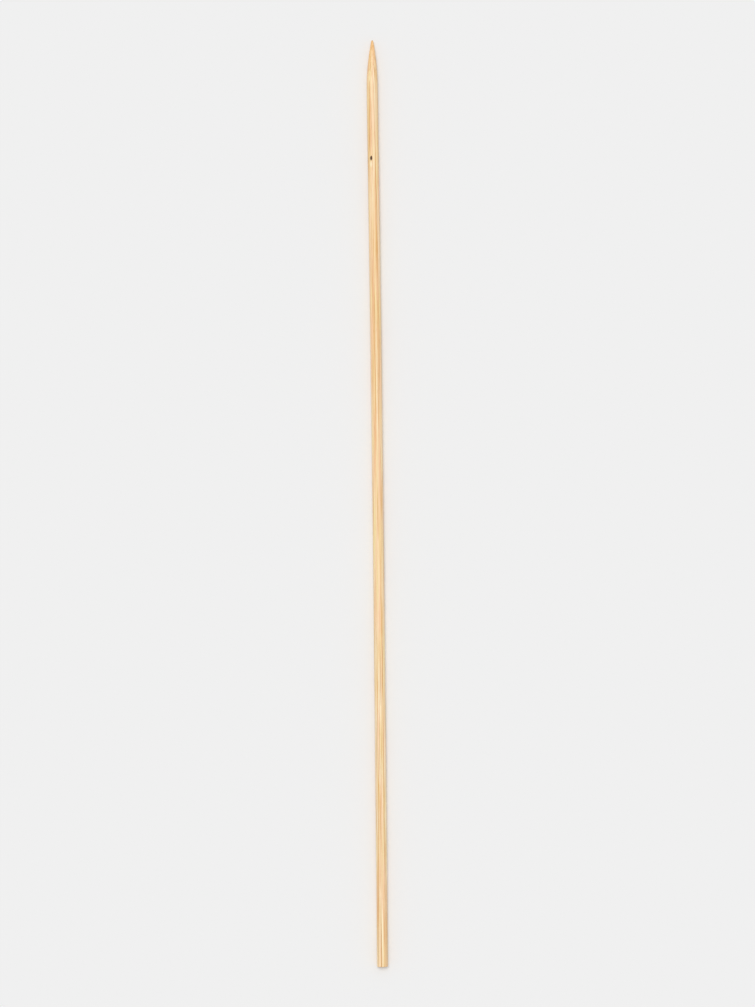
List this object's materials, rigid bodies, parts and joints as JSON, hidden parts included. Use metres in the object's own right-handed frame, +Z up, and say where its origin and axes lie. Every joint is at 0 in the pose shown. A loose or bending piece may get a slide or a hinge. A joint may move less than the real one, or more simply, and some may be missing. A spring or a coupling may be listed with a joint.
{
  "type": "wooden skewer",
  "caption": "Slender round bamboo rod with one tapered, slightly blunt point and a square-cut butt end, for threading food over a grill.",
  "frame": {"origin": "centre of the square-cut butt face, on the rod's axis", "axes": "+Y along the rod, from the butt face to the point; +Z up with the rod lying flat; +X to the right, seen from above with the point away from the viewer"},
  "size_m": [0.003, 0.25, 0.003],
  "materials": {
    "bamboo": "smooth, unvarnished"
  },
  "bodies": {
    "root": {"skewer": "bamboo"}
  },
  "joints": []
}
